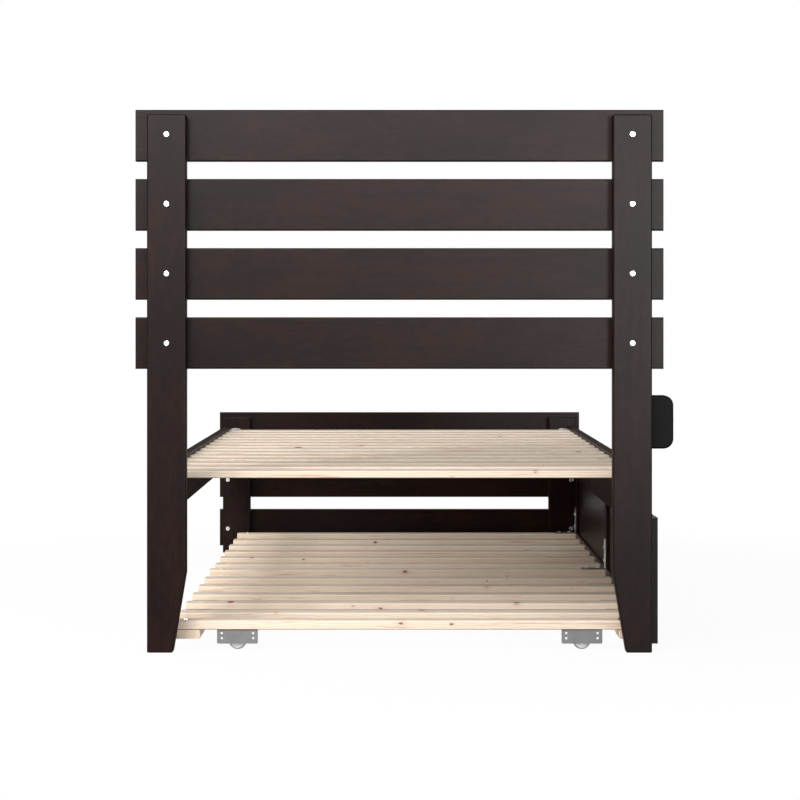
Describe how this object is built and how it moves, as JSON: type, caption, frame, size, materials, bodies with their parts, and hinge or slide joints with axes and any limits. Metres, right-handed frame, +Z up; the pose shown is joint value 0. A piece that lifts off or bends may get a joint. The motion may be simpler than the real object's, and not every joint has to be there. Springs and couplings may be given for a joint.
{
  "type": "trundle bed",
  "caption": "Low slatted platform bed with a plank headboard and footboard, a roll-out trundle on casters and a small bedside charger.",
  "frame": {"origin": "on the floor, at the middle of the bed's footprint", "axes": "+Z up, +Y from the headboard to the footboard, +X the way the trundle rolls out"},
  "size_m": [1.119, 2.031, 1.124],
  "materials": {
    "stained_wood": "very dark brown stain, satin lacquer",
    "bare_pine": "planed, unfinished pine",
    "zinc_steel": "bright zinc plate",
    "grey_steel": "satin grey coat",
    "wheel_plastic": "moulded, slightly glossy",
    "black_plastic": "fine matte moulding"
  },
  "bodies": {
    "bed_frame": {"charger_back_shell": "black_plastic", "charger_front_cover": "black_plastic", "charger_outlets": "zinc_steel", "charger_power_inlet": "black_plastic", "corner_bracket_screws": "zinc_steel", "corner_brackets": "zinc_steel", "deck_slat_01": "bare_pine", "deck_slat_02": "bare_pine", "deck_slat_03": "bare_pine", "deck_slat_04": "bare_pine", "deck_slat_05": "bare_pine", "deck_slat_06": "bare_pine", "deck_slat_07": "bare_pine", "deck_slat_08": "bare_pine", "deck_slat_09": "bare_pine", "deck_slat_10": "bare_pine", "deck_slat_11": "bare_pine", "deck_slat_12": "bare_pine", "deck_slat_13": "bare_pine", "deck_slat_14": "bare_pine", "footboard_bolts": "zinc_steel", "footboard_post_left": "stained_wood", "footboard_post_right": "stained_wood", "footboard_slat_1": "stained_wood", "footboard_slat_2": "stained_wood", "footboard_slat_3": "stained_wood", "headboard_bolts": "zinc_steel", "headboard_post_left": "stained_wood", "headboard_post_right": "stained_wood", "headboard_slat_1": "stained_wood", "headboard_slat_2": "stained_wood", "headboard_slat_3": "stained_wood", "headboard_slat_4": "stained_wood", "side_rail_left": "stained_wood", "side_rail_right": "stained_wood", "slat_ledge_left": "stained_wood", "slat_ledge_right": "stained_wood"},
    "trundle": {"trundle_angle_brackets": "zinc_steel", "trundle_bracket_screws": "zinc_steel", "trundle_cross_slat_1": "bare_pine", "trundle_cross_slat_2": "bare_pine", "trundle_cross_slat_3": "bare_pine", "trundle_front_bottom_rail": "stained_wood", "trundle_front_centre_stile": "stained_wood", "trundle_front_field_foot": "stained_wood", "trundle_front_field_head": "stained_wood", "trundle_front_foot_stile": "stained_wood", "trundle_front_head_stile": "stained_wood", "trundle_front_top_rail": "stained_wood", "trundle_runner_left": "bare_pine", "trundle_runner_right": "bare_pine", "trundle_slats": "bare_pine", "caster_housings": "grey_steel", "caster_axles": "zinc_steel"},
    "wheel_1": {"caster_wheel_1": "wheel_plastic"},
    "wheel_2": {"caster_wheel_2": "wheel_plastic"},
    "wheel_3": {"caster_wheel_3": "wheel_plastic"},
    "wheel_4": {"caster_wheel_4": "wheel_plastic"},
    "wheel_5": {"caster_wheel_5": "wheel_plastic"},
    "wheel_6": {"caster_wheel_6": "wheel_plastic"}
  },
  "joints": [
    {"name": "trundle_slide", "type": "slide", "parent": "bed_frame", "child": "trundle", "axis": [1, 0, 0], "range_m": [0, 1.05]},
    {"name": "wheel_spin_1", "type": "hinge", "parent": "trundle", "child": "wheel_1", "pos_m": [-0.34825, -0.9545, 0.0186], "axis": [0, 1, 0], "continuous": true},
    {"name": "wheel_spin_2", "type": "hinge", "parent": "trundle", "child": "wheel_2", "pos_m": [0.36975, -0.9545, 0.0186], "axis": [0, 1, 0], "continuous": true},
    {"name": "wheel_spin_3", "type": "hinge", "parent": "trundle", "child": "wheel_3", "pos_m": [-0.34825, -0.01, 0.0186], "axis": [0, 1, 0], "continuous": true},
    {"name": "wheel_spin_4", "type": "hinge", "parent": "trundle", "child": "wheel_4", "pos_m": [0.36975, -0.01, 0.0186], "axis": [0, 1, 0], "continuous": true},
    {"name": "wheel_spin_5", "type": "hinge", "parent": "trundle", "child": "wheel_5", "pos_m": [-0.34825, 0.9345, 0.0186], "axis": [0, 1, 0], "continuous": true},
    {"name": "wheel_spin_6", "type": "hinge", "parent": "trundle", "child": "wheel_6", "pos_m": [0.36975, 0.9345, 0.0186], "axis": [0, 1, 0], "continuous": true}
  ],
  "couplings": [
    {"joint": "wheel_spin_1", "follows": "trundle_slide", "rad_per_m": 53.763},
    {"joint": "wheel_spin_2", "follows": "trundle_slide", "rad_per_m": 53.763},
    {"joint": "wheel_spin_3", "follows": "trundle_slide", "rad_per_m": 53.763},
    {"joint": "wheel_spin_4", "follows": "trundle_slide", "rad_per_m": 53.763},
    {"joint": "wheel_spin_5", "follows": "trundle_slide", "rad_per_m": 53.763},
    {"joint": "wheel_spin_6", "follows": "trundle_slide", "rad_per_m": 53.763}
  ]
}
